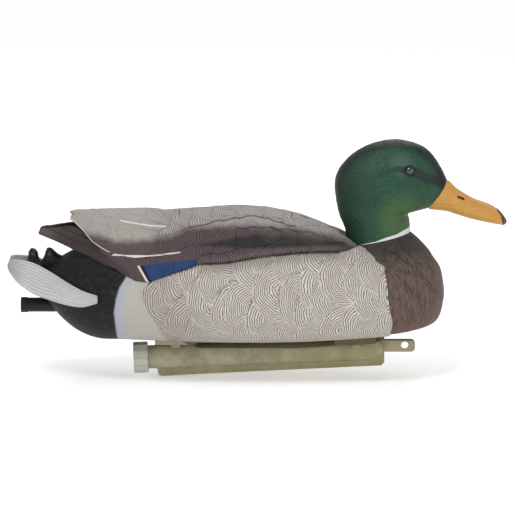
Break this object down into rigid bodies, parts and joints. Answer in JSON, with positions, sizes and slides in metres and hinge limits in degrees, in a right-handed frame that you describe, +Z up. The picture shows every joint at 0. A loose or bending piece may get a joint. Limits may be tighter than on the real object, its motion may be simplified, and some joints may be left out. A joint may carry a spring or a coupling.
{
  "type": "floating duck decoy",
  "caption": "Hollow floating drake decoy with a turning head, a back hatch over a battery bay, a pump that squirts a jet under the tail, and a weighted keel.",
  "frame": {"origin": "on the ground, at the centre of the bounding box's underside", "axes": "+X towards the bill, +Y to the bird's left, +Z up"},
  "size_m": [0.431, 0.156, 0.207],
  "materials": {
    "painted_skin": "matt painted, carved feather texture",
    "painted_head": "satin paint, carved feather texture",
    "eye_gloss": "polished",
    "grey_plastic": "moulded",
    "black_plastic": "moulded",
    "white_plastic": "moulded",
    "red_plastic": "moulded",
    "olive_plastic": "moulded, slightly translucent beige olive",
    "black_rubber": "soft",
    "strap_web": "woven",
    "battery_wrap": "shrink wrap",
    "brass_tabs": "bright",
    "red_lead": "insulated",
    "black_lead": "insulated",
    "clear_hose": "smooth",
    "steel": "bright",
    "magnet": "sintered",
    "copper_windings": "enamelled wire",
    "ballast_iron": "rough"
  },
  "bodies": {
    "hull": {"body_shell": "painted_skin", "neck_socket": "grey_plastic", "battery_tub": "grey_plastic", "hinge_bracket": "grey_plastic", "hinge_pin": "steel", "hatch_gasket": "black_rubber", "battery_pack": "battery_wrap", "battery_terminals": "brass_tabs", "battery_strap": "strap_web", "switch_body": "black_plastic", "control_box": "black_plastic", "lead_grommet": "black_rubber", "battery_leads": "red_lead", "motor_leads": "black_lead", "pump_housing": "black_plastic", "pump_cover": "grey_plastic", "intake_strainer": "black_plastic", "motor_can": "steel", "motor_end_cap": "black_plastic", "motor_magnets": "magnet", "shaft_seal": "black_rubber", "discharge_hose": "clear_hose", "hose_clamps": "steel", "jet_nozzle": "black_plastic", "nozzle_tip": "black_plastic", "nozzle_seal": "black_rubber", "keel": "olive_plastic", "ballast_bar": "ballast_iron", "keel_screws": "steel"},
    "head": {"head_shell": "painted_head", "neck_plug": "grey_plastic", "neck_seal": "black_rubber", "neck_clip": "steel", "eyes": "eye_gloss"},
    "hatch": {"hatch_lid": "painted_skin"},
    "rotor": {"impeller": "white_plastic", "motor_armature": "copper_windings", "motor_shaft": "steel"},
    "rocker": {"switch_rocker": "red_plastic"},
    "cap_slider": {"cap_gasket": "black_rubber"},
    "cap": {"keel_cap": "white_plastic"}
  },
  "joints": [
    {"name": "head_turn", "type": "hinge", "parent": "hull", "child": "head", "pos_m": [0.104, 0, 0.121], "axis": [-0.2079, 0, 0.9781], "range_deg": [-70, 70]},
    {"name": "hatch_open", "type": "hinge", "parent": "hull", "child": "hatch", "pos_m": [-0.015, 0.035, 0.1416], "axis": [-1, 0, 0], "range_deg": [0, 105]},
    {"name": "impeller_spin", "type": "hinge", "parent": "hull", "child": "rotor", "pos_m": [-0.12, -0.011, 0.062], "axis": [0, 0, 1], "continuous": true},
    {"name": "switch_rock", "type": "hinge", "parent": "hull", "child": "rocker", "pos_m": [0.015, 0, 0.109], "axis": [1, 0, 0], "range_deg": [0, 24]},
    {"name": "cap_travel", "type": "slide", "parent": "hull", "child": "cap_slider", "axis": [-0.9991, 0, -0.0419], "range_m": [0, 0.012]},
    {"name": "cap_turn", "type": "hinge", "parent": "cap_slider", "child": "cap", "pos_m": [0, 0, 0.0205], "axis": [-0.9991, 0, -0.0419], "range_deg": [0, 1440]}
  ],
  "couplings": [
    {"joint": "cap_travel", "follows": "cap_turn", "m_per_rad": 0.00047746}
  ]
}
